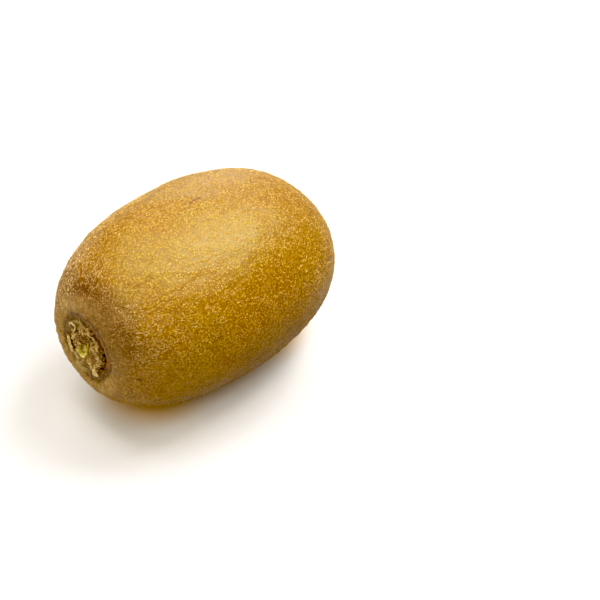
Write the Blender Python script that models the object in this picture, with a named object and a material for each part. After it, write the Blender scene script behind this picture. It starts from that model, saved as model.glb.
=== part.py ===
"""Golden kiwi fruit, picked and whole, lying on its side.

The fruit's long axis runs along X, with the stem end at -X and the blossom end at +X.
The origin is on the surface that the fruit rests on, under the middle of its bounding box, and +Z is up.
Everything is built round the fruit's own centre, and one empty then carries it to that origin.
"""

import math

import bmesh
import bpy
from mathutils import Vector

MM = 0.001

# Driving dimensions of the body
LENGTH = 75.8 * MM  # of the plump body, before its stem end is pressed in
WIDTH = 52.6 * MM
HEIGHT = 51.0 * MM
REST_PRESS = 0.7 * MM  # how far the underside is flattened where the fruit lies

# Shape of the body: how blunt its ends are, and how full it is away from its middle
AXIAL_POWER = 2.02
RADIAL_POWER = 2.33
TAPER = -0.009
FULLNESS = 0.088
SIDE_BOW = 0.5 * MM  # sideways bow of the long axis
THREE_LOBES = -0.009  # shares of the radius
FOUR_LOBES = -0.0107
FOUR_LOBES_TURN = math.radians(11.5)
OVAL_CHANGE = 0.032  # the body is upright oval at the stem end and wide oval at the blossom end

# Stem end: a shoulder that sinks into a dish
SHOULDER_RADIUS = 13.0 * MM
DISH_RADIUS = 7.0 * MM
SHOULDER_DEPTH = 3.0 * MM
WELL_RADIUS = 7.6 * MM
WELL_WALL = 1.8 * MM
WELL_DEPTH = 1.5 * MM

# Blossom end: a small pucker round the dry styles
PUCKER_RADIUS = 5.0 * MM
PUCKER_DEPTH = 1.3 * MM

# Small organs that dried onto the fruit
GAP = 0.35 * MM  # clearance that keeps each solid apart from its neighbour
SEPAL_TURNS = (40, 112, 172, 236, 326)  # degrees round the stem, unevenly as they withered
SEPAL_THICKNESS = 0.45 * MM
SEPAL_HEIGHT = 2.2 * MM
SEPAL_HALF_ANGLE = math.radians(27)
SEPAL_FOOT_RADIUS = 4.5 * MM
SEPAL_TIP_RADIUS = 5.9 * MM
STALK_FOOT_RADIUS = 3.4 * MM  # the woody disc that the stalk grew from
STALK_RADIUS = 2.2 * MM
STALK_HEIGHT = 1.6 * MM
STALK_CUP_DEPTH = 0.6 * MM
STYLE_COUNT = 11
STYLE_REACH = 2.6 * MM
STYLE_WAIST = 1.5 * MM
STYLE_HEIGHT = 1.6 * MM

# Mesh fineness
RINGS = 54
SEGMENTS = 60
END_CROWDING = 0.06  # draws rings towards both ends, where the shape turns fastest


def clear_scene():
    for old in list(bpy.data.objects):
        bpy.data.objects.remove(old)


def make_material(name, colour, roughness):
    made = bpy.data.materials.new(name)
    made.use_nodes = True
    shader = made.node_tree.nodes["Principled BSDF"]
    shader.inputs["Base Color"].default_value = (*colour, 1.0)
    shader.inputs["Roughness"].default_value = roughness
    shader.inputs["Metallic"].default_value = 0.0
    return made


def make_object(name, body, paint, carrier):
    """A named, smooth-shaded object from a bmesh, which it frees."""
    bmesh.ops.recalc_face_normals(body, faces=body.faces)
    mesh = bpy.data.meshes.new(name)
    body.to_mesh(mesh)
    body.free()
    mesh.materials.append(paint)
    mesh.shade_smooth()
    made = bpy.data.objects.new(name, mesh)
    bpy.context.scene.collection.objects.link(made)
    made.parent = carrier
    return made


def smooth_step(share):
    held = min(1.0, max(0.0, share))
    return held * held * (3.0 - 2.0 * held)


def plump_radius(along):
    """Unscaled radius of the body at a place along it, from -1 at the stem end to 1 at the blossom end."""
    round_part = max(0.0, 1.0 - abs(along) ** AXIAL_POWER) ** (1.0 / RADIAL_POWER)
    return round_part * (1.0 + TAPER * along + FULLNESS * along * along)


PEAK_RADIUS = max(plump_radius(step / 500.0 - 1.0) for step in range(1001))


def stem_press(radius):
    """How far the stem end's surface lies inside the plump body, at a distance from the axis."""
    shoulder = SHOULDER_DEPTH * smooth_step((SHOULDER_RADIUS - radius) / (SHOULDER_RADIUS - DISH_RADIUS))
    well = WELL_DEPTH * smooth_step((WELL_RADIUS - radius) / WELL_WALL)
    return shoulder + well


def blossom_press(radius):
    return PUCKER_DEPTH * smooth_step(1.0 - radius / PUCKER_RADIUS)


def skin_point(polar, angle):
    """A point of the skin, round the fruit's own centre. polar is 0 at the stem end and pi at the blossom end."""
    along = -math.cos(polar)
    radius = plump_radius(along) / PEAK_RADIUS
    lobes = 1.0 + THREE_LOBES * math.cos(3.0 * angle)
    lobes += FOUR_LOBES * math.cos(4.0 * (angle - FOUR_LOBES_TURN))
    lobes += OVAL_CHANGE * along * math.cos(2.0 * angle)
    from_axis = radius * lobes * WIDTH / 2.0
    pressed = stem_press(from_axis) if along < 0.0 else -blossom_press(from_axis)
    return Vector(
        (
            along * LENGTH / 2.0 + pressed,
            radius * lobes * math.cos(angle) * WIDTH / 2.0 + SIDE_BOW * (1.0 - along * along),
            radius * lobes * math.sin(angle) * HEIGHT / 2.0,
        )
    )


def ring_polar(number):
    share = number / (RINGS + 1)
    return math.pi * (share - END_CROWDING * math.sin(2.0 * math.pi * share))


def add_ring(body, points):
    """A closed loop of edges through these points, for bridging."""
    corners = [body.verts.new(point) for point in points]
    return [body.edges.new((corners[i - 1], corners[i])) for i in range(len(corners))]


def bridge(body, rings):
    for lower, upper in zip(rings, rings[1:]):
        bmesh.ops.bridge_loops(body, edges=lower + upper)


def close_with_point(body, ring, point):
    """Closes a ring with a fan of triangles round a point."""
    tip = body.verts.new(point)
    for edge in ring:
        body.faces.new((*edge.verts, tip))


def make_fruit(paint, carrier):
    """The fruit itself: one solid, with a dish at its stem end and a flat spot where it lies."""
    body = bmesh.new()
    rings = []
    for number in range(1, RINGS + 1):
        polar = ring_polar(number)
        points = [skin_point(polar, 2.0 * math.pi * turn / SEGMENTS) for turn in range(SEGMENTS)]
        rings.append(add_ring(body, points))
    bridge(body, rings)
    close_with_point(body, rings[0], skin_point(0.0, 0.0))
    close_with_point(body, rings[-1], skin_point(math.pi, 0.0))
    rest_height = min(corner.co.z for corner in body.verts) + REST_PRESS
    for corner in body.verts:
        corner.co.z = max(corner.co.z, rest_height)
    return make_object("fruit", body, paint, carrier)


def dish_floor():
    """Where the floor of the stem end's dish crosses the long axis."""
    return -LENGTH / 2.0 + stem_press(0.0)


def round_the_axis(along, radius, angle):
    return Vector((along, radius * math.cos(angle), radius * math.sin(angle)))


def make_sepal(number, paint, carrier):
    """One dry sepal: a pointed, curved flake that stands on the dish floor and leans outwards."""
    rows, columns = 5, 6
    middle = math.radians(SEPAL_TURNS[number])
    body = bmesh.new()
    grid = []
    for row in range(rows):
        up = row / (rows - 1)
        along = dish_floor() - GAP - SEPAL_THICKNESS / 2.0 - up * SEPAL_HEIGHT
        radius = SEPAL_FOOT_RADIUS + (SEPAL_TIP_RADIUS - SEPAL_FOOT_RADIUS) * up**0.8
        half_angle = SEPAL_HALF_ANGLE * (1.0 - 0.62 * up**1.5)
        turns = [middle + half_angle * (2.0 * column / columns - 1.0) for column in range(columns + 1)]
        grid.append([body.verts.new(round_the_axis(along, radius, turn)) for turn in turns])
    for lower, upper in zip(grid, grid[1:]):
        for i in range(columns):
            body.faces.new((lower[i], lower[i + 1], upper[i + 1], upper[i]))
    made = make_object(f"sepal_{number + 1}", body, paint, carrier)
    thicken = made.modifiers.new("thickness", "SOLIDIFY")
    thicken.thickness = SEPAL_THICKNESS
    thicken.offset = 0.0
    return made


def make_stalk_stub(paint, carrier):
    """What is left of the stalk after picking: a short stump with a cupped top, on its woody disc."""
    foot = dish_floor() - GAP
    top = foot - STALK_HEIGHT
    outline = (
        (foot, STALK_FOOT_RADIUS),
        (foot - 0.35 * STALK_HEIGHT, 0.95 * STALK_FOOT_RADIUS),
        (foot - 0.6 * STALK_HEIGHT, 1.1 * STALK_RADIUS),
        (top + 0.3 * STALK_CUP_DEPTH, STALK_RADIUS),
        (top, 0.8 * STALK_RADIUS),
        (top + 0.3 * STALK_CUP_DEPTH, 0.6 * STALK_RADIUS),
    )
    turns = [2.0 * math.pi * turn / 20 for turn in range(20)]
    body = bmesh.new()
    rings = [add_ring(body, [round_the_axis(x, r, a) for a in turns]) for x, r in outline]
    bridge(body, rings)
    close_with_point(body, rings[0], Vector((foot, 0.0, 0.0)))
    close_with_point(body, rings[-1], Vector((top + STALK_CUP_DEPTH, 0.0, 0.0)))
    return make_object("stalk_stub", body, paint, carrier)


def make_style_tuft(paint, carrier):
    """The dry styles at the blossom end: a low star of stiff points round a hollow middle."""
    foot = LENGTH / 2.0 - PUCKER_DEPTH + GAP
    levels = ((0.0, 0.7, 0.85), (0.4, 1.0, 1.0), (1.0, 0.86, 0.62))
    body = bmesh.new()
    rings = []
    for up, reach_share, waist_share in levels:
        points = []
        for turn in range(2 * STYLE_COUNT):
            reach = STYLE_REACH * reach_share if turn % 2 else STYLE_WAIST * waist_share
            angle = math.pi * turn / STYLE_COUNT
            points.append(round_the_axis(foot + up * STYLE_HEIGHT, reach, angle))
        rings.append(add_ring(body, points))
    bridge(body, rings)
    close_with_point(body, rings[0], Vector((foot, 0.0, 0.0)))
    close_with_point(body, rings[-1], Vector((foot + 0.55 * STYLE_HEIGHT, 0.0, 0.0)))
    return make_object("style_tuft", body, paint, carrier)


def stand_on_origin(carrier, parts):
    """Moves the carrier so that the origin is at the bottom centre of the parts' bounding box."""
    bpy.context.view_layer.update()
    corners = [Vector(corner) for part in parts for corner in part.bound_box]
    low = Vector([min(corner[axis] for corner in corners) for axis in range(3)])
    high = Vector([max(corner[axis] for corner in corners) for axis in range(3)])
    carrier.location = (-(low.x + high.x) / 2.0, -(low.y + high.y) / 2.0, -low.z)


def main():
    clear_scene()
    carrier = bpy.data.objects.new("kiwi_centre", None)
    bpy.context.scene.collection.objects.link(carrier)
    skin = make_material("golden_skin", (0.45, 0.24, 0.05), 0.5)
    dry_leaf = make_material("dry_sepal", (0.36, 0.25, 0.13), 0.8)
    stalk = make_material("stalk_scar", (0.38, 0.36, 0.08), 0.6)
    dry_style = make_material("dry_style", (0.09, 0.05, 0.03), 0.85)
    parts = [make_fruit(skin, carrier)]
    parts += [make_sepal(number, dry_leaf, carrier) for number in range(len(SEPAL_TURNS))]
    parts.append(make_stalk_stub(stalk, carrier))
    parts.append(make_style_tuft(dry_style, carrier))
    stand_on_origin(carrier, parts)


main()
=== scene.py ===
"""The looks of the golden kiwi fruit: its fine skin, its fuzz, its withered stem end and its dry styles.

The skin follows the same body as the CAD, at a finer mesh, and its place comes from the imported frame's boxes.
Lengths are in metres, or in millimetres where a comment says so. Angles round the fruit's long axis count
from +Y towards +Z. Every random draw has a seed of its own.
"""

import math

import bpy
import numpy as np
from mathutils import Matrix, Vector


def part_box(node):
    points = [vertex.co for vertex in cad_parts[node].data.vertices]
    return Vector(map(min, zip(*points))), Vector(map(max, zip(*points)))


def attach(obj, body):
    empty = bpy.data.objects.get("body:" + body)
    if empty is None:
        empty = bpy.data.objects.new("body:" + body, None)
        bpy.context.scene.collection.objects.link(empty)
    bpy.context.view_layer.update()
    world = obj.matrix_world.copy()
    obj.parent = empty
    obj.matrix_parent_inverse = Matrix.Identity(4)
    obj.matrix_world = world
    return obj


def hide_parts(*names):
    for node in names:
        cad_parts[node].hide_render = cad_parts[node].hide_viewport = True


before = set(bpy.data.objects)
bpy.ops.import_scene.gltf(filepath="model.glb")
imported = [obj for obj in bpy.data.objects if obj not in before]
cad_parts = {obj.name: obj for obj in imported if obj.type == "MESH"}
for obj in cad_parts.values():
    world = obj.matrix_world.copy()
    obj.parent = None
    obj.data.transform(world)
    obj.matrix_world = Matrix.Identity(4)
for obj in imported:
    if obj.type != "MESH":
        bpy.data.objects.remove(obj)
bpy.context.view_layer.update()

MM = 0.001
TURN = 2.0 * math.pi

# The body, as in the CAD
LENGTH = 75.8 * MM
WIDTH = 52.6 * MM
HEIGHT = 51.0 * MM
AXIAL_POWER = 2.02
RADIAL_POWER = 2.33
TAPER = -0.009
FULLNESS = 0.088
SIDE_BOW = 0.5 * MM
THREE_LOBES = -0.009
FOUR_LOBES = -0.0107
FOUR_LOBES_TURN = math.radians(11.5)
OVAL_CHANGE = 0.032
SHOULDER_RADIUS = 13.0 * MM
DISH_RADIUS = 7.0 * MM
SHOULDER_DEPTH = 3.0 * MM
WELL_RADIUS = 7.6 * MM
WELL_WALL = 1.8 * MM
WELL_DEPTH = 1.5 * MM
PUCKER_RADIUS = 5.0 * MM
PUCKER_DEPTH = 1.3 * MM

# The skin's mesh and relief
SKIN_RINGS = 192
SKIN_SEGMENTS = 500
SWELL = 0.1 * MM  # broad unevenness
RIPPLE = 0.045 * MM  # fine unevenness
STEM_END = 0.3 * LENGTH  # how far from the middle the stem end's relief and marks begin
NOT_INSIDE = -20.0  # millimetres inside the fold, for every place beyond the stem end
FAR_OFF = 99.0  # millimetres from the stem, for the same places
CREASE_RADIUS = 9.0 * MM  # where the skin folds in round the stem
CREASE_DEPTH = 0.4 * MM
CREASE_WIDTH = 0.42 * MM
LIP_HEIGHT = 0.14 * MM
WRINKLE = 0.1 * MM  # radial puckers round the stem end
CRUMPLE = 0.065 * MM  # fine folds inside the crease
SCRATCH = ((0.4, 1.5, 25.3), (3.4, 1.7, 25.2))  # two small blemishes, in millimetres from the body's centre
PIT = ((-31.65, -16.3, -0.75), (-31.1, -16.75, -1.0))

# Fuzz
STUBS = 29000  # short stubs all over the skin
END_HAIRS = 11400  # longer hairs, most of them near both ends


def smooth_step(share):
    held = np.clip(share, 0.0, 1.0)
    return held * held * (3.0 - 2.0 * held)


def stack(*parts):
    """Arrays and plain numbers side by side, along a new last axis."""
    return np.stack(np.broadcast_arrays(*parts), axis=-1)


def lattice(first, second):
    return np.meshgrid(first, second, indexing="ij")


def unit(vectors):
    return vectors / np.maximum(np.linalg.norm(vectors, axis=-1, keepdims=True), 1e-12)


def wave_noise(points, wavelength, seed, waves=24):
    """Smooth noise of about unit spread: a sum of plane waves in random directions."""
    draw = np.random.default_rng(seed)
    ways = draw.normal(size=(waves, 3))
    ways *= (TURN / wavelength * draw.uniform(0.6, 1.5, waves) / np.linalg.norm(ways, axis=1))[:, None]
    starts = draw.uniform(0.0, TURN, waves)
    flat = points.reshape(-1, 3)
    total = np.zeros(len(flat))
    for way, start in zip(ways, starts):
        total += np.sin(flat @ way + start)
    return (total * math.sqrt(2.0 / waves)).reshape(points.shape[:-1])


# ---- The body


def plump_radius(along):
    round_part = np.maximum(0.0, 1.0 - np.abs(along) ** AXIAL_POWER) ** (1.0 / RADIAL_POWER)
    return round_part * (1.0 + TAPER * along + FULLNESS * along * along)


PEAK_RADIUS = plump_radius(np.linspace(-1.0, 1.0, 1001)).max()


def stem_press(radius):
    """How far the stem end's surface lies inside the plump body, at a distance from the axis."""
    shoulder = SHOULDER_DEPTH * smooth_step((SHOULDER_RADIUS - radius) / (SHOULDER_RADIUS - DISH_RADIUS))
    return shoulder + WELL_DEPTH * smooth_step((WELL_RADIUS - radius) / WELL_WALL)


def body_points(polar, angle):
    """Points of the body round its own centre, polar 0 at the stem end and pi at the blossom end."""
    along = -np.cos(polar)
    radius = plump_radius(along) / PEAK_RADIUS
    lobes = 1.0 + THREE_LOBES * np.cos(3.0 * angle) + OVAL_CHANGE * along * np.cos(2.0 * angle)
    lobes = lobes + FOUR_LOBES * np.cos(4.0 * (angle - FOUR_LOBES_TURN))
    from_axis = radius * lobes * WIDTH / 2.0
    pucker = -PUCKER_DEPTH * smooth_step(1.0 - from_axis / PUCKER_RADIUS)
    pressed = np.where(along < 0.0, stem_press(from_axis), pucker)
    y = radius * lobes * np.cos(angle) * WIDTH / 2.0 + SIDE_BOW * (1.0 - along * along)
    z = radius * lobes * np.sin(angle) * HEIGHT / 2.0
    return stack(along * LENGTH / 2.0 + pressed, y, z)


def body_centre():
    """Where the body's own centre is in the frame: its box against the box of the CAD fruit."""
    low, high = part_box("fruit")
    cloud = body_points(*lattice(np.linspace(0.0, math.pi, 400), np.linspace(0.0, TURN, 400))).reshape(-1, 3)
    least, most = cloud.min(axis=0), cloud.max(axis=0)
    return Vector((high.x - most[0], (low.y + high.y) / 2.0 - (least[1] + most[1]) / 2.0, high.z - most[2]))


CENTRE = body_centre()


def ring_polars():
    """Polar angles of the skin's rings, drawn towards both ends, where the shape turns fastest."""
    fine = np.linspace(0.0, math.pi, 4001)
    density = 1.0 + 3.4 * np.exp(-((fine / 0.5) ** 2)) + 1.2 * np.exp(-(((math.pi - fine) / 0.3) ** 2))
    share = np.concatenate([[0.0], np.cumsum((density[1:] + density[:-1]) / 2.0)])
    share /= share[-1]
    return np.interp(np.linspace(0.0, 1.0, SKIN_RINGS + 2)[1:-1], share, fine)


def from_stem_axis(points):
    """Distance and angle of each point from the long axis, through the stem."""
    across = points[:, 1:] - np.array(CENTRE)[1:]
    return np.hypot(across[:, 0], across[:, 1]), np.arctan2(across[:, 1], across[:, 0])


def grid_normals(grid):
    """Outward normals of a grid of points, rings first, closed round its segments."""
    along = np.gradient(grid, axis=0)
    around = np.roll(grid, -1, axis=1) - np.roll(grid, 1, axis=1)
    return unit(np.cross(around, along))


def turned(angle, middle):
    """How far an angle is past a middle one, from -180 to 180 degrees."""
    return (np.asarray(angle) - middle + 180.0) % 360.0 - 180.0


def bell(angle, middle, width):
    """1 at the middle angle and falling off on both sides, all in degrees."""
    return np.exp(-((turned(angle, middle) / width) ** 2))


def window(angle, first, last, soft=9.0):
    """1 between two angles, in degrees, and 0 outside them."""
    middle, half = (first + last) / 2.0, (last - first) / 2.0
    return smooth_step((half + soft - np.abs(turned(angle, middle))) / (2.0 * soft))


def fold_radius(angle):
    """How far from the axis the skin folds in round the stem, by the angle in radians: furthest above it."""
    wander = 0.25 * MM * wave_noise(stack(np.cos(angle), np.sin(angle), 0.0), 1.6, 21)
    degrees = np.degrees(angle)
    return CREASE_RADIUS + wander + (3.0 * bell(degrees, 125.0, 45.0) - 0.7 * bell(degrees, 230.0, 30.0)) * MM


def stem_relief(points):
    """The crease, the lip and the puckers of the skin round the stem, as heights along the normal."""
    radius, angle = from_stem_axis(points)
    at_stem = smooth_step((CENTRE.x - STEM_END - points[:, 0]) / (5.0 * MM))
    crease_at = fold_radius(angle)
    crease = -CREASE_DEPTH * np.exp(-(((radius - crease_at) / CREASE_WIDTH) ** 2))
    lip = LIP_HEIGHT * np.exp(-(((radius - crease_at + 1.1 * MM) / (0.75 * MM)) ** 2))
    folds = np.sin(17.0 * angle + 1.3 * wave_noise(points, 9.0 * MM, 22)) + np.sin(29.0 * angle + 1.0)
    pucker = WRINKLE * folds * np.exp(-(((radius - CREASE_RADIUS - 1.6 * MM) / (2.0 * MM)) ** 2))
    # Inside the crease the skin is crumpled, with fine folds that run in towards the stem
    inner = smooth_step((crease_at - radius - 0.1 * MM) / (0.8 * MM)) * smooth_step((radius - 5.5 * MM) / MM)
    fine = np.sin(43.0 * angle + 2.5 * wave_noise(points, 3.0 * MM, 23))
    fine = fine + 1.4 * wave_noise(points, 1.1 * MM, 24)
    return at_stem * (crease + lip + pucker + CRUMPLE * inner * fine)


def skin_grid():
    polar, angle = lattice(ring_polars(), np.arange(SKIN_SEGMENTS) * TURN / SKIN_SEGMENTS)
    grid = body_points(polar, angle) + np.array(CENTRE)
    flat = grid.reshape(-1, 3)
    height = SWELL * wave_noise(flat, 19.0 * MM, 11) + RIPPLE * wave_noise(flat, 4.2 * MM, 12)
    height += 0.5 * RIPPLE * wave_noise(flat, 1.7 * MM, 13, waves=40)
    height += stem_relief(flat)
    moved = flat + grid_normals(grid).reshape(-1, 3) * height[:, None]
    moved[:, 2] = np.maximum(moved[:, 2], 0.0)
    return moved.reshape(grid.shape)


# ---- Meshes


def read(items, name, width=1, kind=np.int64):
    """One property of all items of a mesh, in rows of so many numbers."""
    values = np.zeros(width * len(items), dtype=kind)
    items.foreach_get(name, values)
    return values.reshape(-1, width).squeeze()


def mark(mesh, name, values):
    """Gives each point of a mesh a number for its material to read."""
    layer = mesh.attributes.new(name, "FLOAT", "POINT")
    layer.data.foreach_set("value", np.asarray(values, dtype=np.float32))


def bake_map(mesh, places):
    """The UV map for baking, from a place for each corner of each face."""
    layer = mesh.uv_layers.new(name="OFBake")
    layer.uv.foreach_set("vector", places.astype(np.float32).ravel())


def link(name, points, faces, tone=None):
    """A mesh object from points and faces, with a tone from dark to light for each point."""
    mesh = bpy.data.meshes.new(name)
    mesh.from_pydata([tuple(point) for point in points], [], [tuple(face) for face in faces])
    mesh.update()
    mesh.shade_smooth()
    if tone is not None:
        mark(mesh, "tone", tone)
    return add_object(name, mesh)


def add_object(name, data):
    made = bpy.data.objects.new(name, data)
    bpy.context.scene.collection.objects.link(made)
    return made


class Heap:
    """Several meshes gathered into one piece."""

    def __init__(self):
        self.points, self.faces, self.tones, self.count = [], [], [], 0

    def put(self, points, faces, tone):
        self.points.append(points)
        self.faces += [tuple(int(corner) + self.count for corner in face) for face in faces]
        self.tones.append(np.broadcast_to(tone, len(points)))
        self.count += len(points)

    def link(self, name):
        return link(name, np.concatenate(self.points), self.faces, np.concatenate(self.tones))


def closed_grid_faces(rings, segments, ends):
    """Quads between rings that close on themselves, and fans to one or two end points after them."""
    ring, segment = lattice(np.arange(rings - 1), np.arange(segments))
    here = (ring * segments + segment).ravel()
    beside = (ring * segments + (segment + 1) % segments).ravel()
    turn = np.arange(segments)
    after = (turn + 1) % segments
    last_ring = (rings - 1) * segments
    fans = (
        stack(after, turn, rings * segments),
        stack(last_ring + turn, last_ring + after, rings * segments + 1),
    )
    faces = stack(here, beside, beside + segments, here + segments).tolist()
    for fan in fans[:ends]:
        faces += fan.tolist()
    return faces


def capped(grid, tip):
    """Points and faces of rings round a tip. The last ring stays open."""
    points = np.concatenate([grid.reshape(-1, 3), np.reshape(tip, (1, 3))])
    return points, closed_grid_faces(*grid.shape[:2], 1)


def wrap_map(mesh, rings, segments):
    """A bake map for a closed grid: round the fruit across, and from end to end upwards."""
    corners = read(mesh.loops, "vertex_index")
    sizes = read(mesh.polygons, "loop_total")
    face_of = np.repeat(np.arange(len(sizes)), sizes)
    poles = corners >= rings * segments
    across = (corners % segments) / segments
    upward = (corners // segments + 1) / (rings + 1)
    upward[poles] = corners[poles] - rings * segments
    highest = np.full(len(sizes), -1.0)
    np.maximum.at(highest, face_of, np.where(poles, -1.0, across))
    lowest = np.full(len(sizes), 2.0)
    np.minimum.at(lowest, face_of, np.where(poles, 2.0, across))
    wraps = highest - lowest > 0.5
    middle = (highest + np.where(wraps, lowest + 1.0, lowest)) / 2.0
    across = np.where(wraps[face_of] & (across < 0.5), across + 1.0, across)
    bake_map(mesh, stack(np.where(poles, middle[face_of], across), upward))


def make_skin():
    grid = skin_grid()
    rings, segments = grid.shape[:2]
    points = np.concatenate([grid.reshape(-1, 3), [grid[0].mean(axis=0), grid[-1].mean(axis=0)]])
    skin = link("kiwi_skin", points, closed_grid_faces(rings, segments, 2))
    wrap_map(skin.data, rings, segments)
    radius, angle = from_stem_axis(points)
    at_stem = points[:, 0] < CENTRE.x - STEM_END
    mark(skin.data, "inside_fold", np.where(at_stem, (fold_radius(angle) - radius) / MM, NOT_INSIDE))
    mark(skin.data, "from_stem", np.where(at_stem, radius / MM, FAR_OFF))
    mark(skin.data, "rusty", window(np.degrees(angle), 100.0, 195.0, 20.0))
    return skin


# ---- Fuzz


def skin_samples(skin, count, weight, seed):
    """Random places on the skin as points and normals, as many per area as weight asks for."""
    mesh = skin.data
    mesh.calc_loop_triangles()
    corners = read(mesh.loop_triangles, "vertices", 3)
    places = read(mesh.vertices, "co", 3, np.float32).astype(float)
    normals = read(mesh.vertex_normals, "vector", 3, np.float32).astype(float)
    a, b, c = (places[corners[:, side]] for side in range(3))
    area = np.linalg.norm(np.cross(b - a, c - a), axis=1) / 2.0
    chance = area * weight((a + b + c) / 3.0)
    draw = np.random.default_rng(seed)
    chosen = np.sort(draw.choice(len(area), size=count, p=chance / chance.sum()))
    split = np.sqrt(draw.random(count))
    other = draw.random(count)
    shares = stack(1.0 - split, split * (1.0 - other), split * other)[:, :, None]
    at = (places[corners[chosen]] * shares).sum(axis=1)
    up = (normals[corners[chosen]] * shares).sum(axis=1)
    return at, unit(up), draw


def lay_hairs(name, at, up, heading, length, width, lift, curl, rings, draw):
    """Thin three-sided spikes in one mesh: each leaves the skin, curls sideways and comes to a point.

    heading is along the skin, lift is how high the middle rises, and curl is the sideways turn in radians.
    """
    count = len(at)
    side = np.cross(up, heading)
    curl = np.where(np.abs(curl) < 0.01, 0.01, curl)
    droop = draw.uniform(0.2, 1.1, count)
    corners = []
    for ring in range(rings + 1):
        share = ring / rings
        ahead = length * np.sin(curl * share) / curl
        aside = length * (1.0 - np.cos(curl * share)) / curl
        rise = lift * (4.0 * share * (1.0 - share) + (1.0 - droop) * share**2)
        centre = at + heading * ahead[:, None] + side * aside[:, None]
        centre += up * (rise - 0.35 * width * (1.0 - share))[:, None]
        if ring == rings:
            corners.append(centre)
            break
        across = side * np.cos(curl * share)[:, None] - heading * np.sin(curl * share)[:, None]
        girth = width * (1.0 - 0.6 * share**2) / 2.0
        for corner in range(3):
            angle = TURN * corner / 3.0 + math.pi / 2.0
            out = across * math.cos(angle) + up * math.sin(angle)
            corners.append(centre + out * girth[:, None])
    each = len(corners)
    points = np.stack(corners, axis=1).reshape(-1, 3)
    points[:, 2] = np.maximum(points[:, 2], 0.0)
    pattern = [[0, 2, 1]]
    for ring in range(rings):
        for corner in range(3):
            here, beside = 3 * ring + corner, 3 * ring + (corner + 1) % 3
            if ring + 1 < rings:
                pattern += [[here, beside, beside + 3], [here, beside + 3, here + 3]]
            else:
                pattern.append([here, beside, each - 1])
    faces = (np.array(pattern)[None] + each * np.arange(count)[:, None, None]).reshape(-1, 3)
    tone = draw.random(count) ** 1.5
    hairs = link(name, points, faces.tolist(), np.repeat(tone, each))
    # A bake map with a small square of its own for each hair
    cells = math.ceil(math.sqrt(count))
    own = stack(np.arange(count) % cells, np.arange(count) // cells)
    spots = [(0.1 + 0.4 * corner, 0.1 + 0.7 * ring / rings) for ring in range(rings) for corner in range(3)]
    flat = (own[:, None] + np.array([*spots, (0.5, 0.9)])[None]).reshape(-1, 2) / cells
    bake_map(hairs.data, flat[faces.ravel()])
    return hairs


def random_heading(up, draw, lean, scatter):
    """Unit vectors along the skin, scattered round the way from the stem end to the blossom end."""
    forward = unit(np.array([1.0, 0.0, 0.0]) - up * up[:, :1])
    side = np.cross(up, forward)
    turn = lean + draw.normal(0.0, scatter, len(up))
    return forward * np.cos(turn)[:, None] + side * np.sin(turn)[:, None]


def blemish_ends(blemish):
    return [np.array(CENTRE) + np.array(end) * MM for end in blemish]


def hairy(points):
    """1 where hairs stand: not on the flat spot, inside the fold round the stem or on the two blemishes."""
    above_floor = (points[:, 2] > 0.5 * MM).astype(float)
    radius, angle = from_stem_axis(points)
    outside = smooth_step((radius - fold_radius(angle) - 0.1 * MM) / (0.9 * MM))
    clear = np.ones(len(points))
    for blemish in (SCRATCH, PIT):
        first, last = blemish_ends(blemish)
        along = last - first
        share = np.clip((points - first) @ along / (along @ along), 0.0, 1.0)
        away = np.linalg.norm(points - first - share[:, None] * along, axis=1)
        clear *= 1.0 - np.exp(-((away / (0.6 * MM)) ** 2))
    return above_floor * np.where(points[:, 0] < CENTRE.x, outside, 1.0) * clear


def stub_weight(points):
    """Stubs stand closer in some patches, and wider apart near the stem, where they are larger."""
    near_stem = smooth_step((CENTRE.x - points[:, 0]) / (16.0 * MM) - 0.9)
    patchy = 0.8 + 0.2 * wave_noise(points, 7.0 * MM, 42)
    return hairy(points) * np.maximum(0.3, patchy) * (1.0 - 0.15 * near_stem)


def end_weight(points):
    """How thick the longer hairs stand: most round the stem, less at the blossom end, few in the middle."""
    x = (points[:, 0] - CENTRE.x) / (LENGTH / 2.0)
    patchy = 0.75 + 0.25 * wave_noise(points, 11.0 * MM, 41)
    thick = 0.06 + 1.0 * smooth_step((-x - 0.35) / 0.5) + 0.7 * smooth_step((x - 0.6) / 0.4)
    return hairy(points) * np.maximum(0.1, patchy) * thick


def make_fuzz(skin, name, parts, count, weight, seed, sizes, curl, heading, growth, rings):
    """Hairs strewn over the skin, in so many pieces.

    sizes are ranges in millimetres for the length, the width and the lift. curl is a spread in radians, and
    heading a lean and a spread. growth is how much longer the hairs are near the stem.
    """
    made = []
    for part in range(parts):
        at, up, draw = skin_samples(skin, count // parts, weight, seed + part)
        grown = 1.0 + growth * smooth_step((CENTRE.x - at[:, 0]) / (22.0 * MM) - 0.4)
        grown = (grown, 0.65 + 0.35 * grown, grown)
        length, width, lift = (draw.uniform(*size, len(at)) * more * MM for size, more in zip(sizes, grown))
        bend = draw.normal(0.0, curl, len(at))
        way = random_heading(up, draw, *heading)
        made.append(lay_hairs(f"{name}_{part + 1}", at, up, way, length, width, lift, bend, rings, draw))
    return made


def make_stubs(skin):
    """Short worn stubs all over the skin."""
    sizes = ((0.25, 0.54), (0.14, 0.24), (0.03, 0.09))
    return make_fuzz(skin, "skin_stubs", 2, STUBS, stub_weight, 31, sizes, 0.35, (-0.1, 0.75), 0.4, 2)


def make_end_hairs(skin):
    """Longer curled hairs, pressed to the skin."""
    sizes = ((0.5, 1.3), (0.08, 0.13), (0.03, 0.13))
    return make_fuzz(skin, "fuzz", 3, END_HAIRS, end_weight, 51, sizes, 1.1, (0.0, 1.1), 0.0, 3)


# ---- Stem end, in degrees and millimetres

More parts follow.
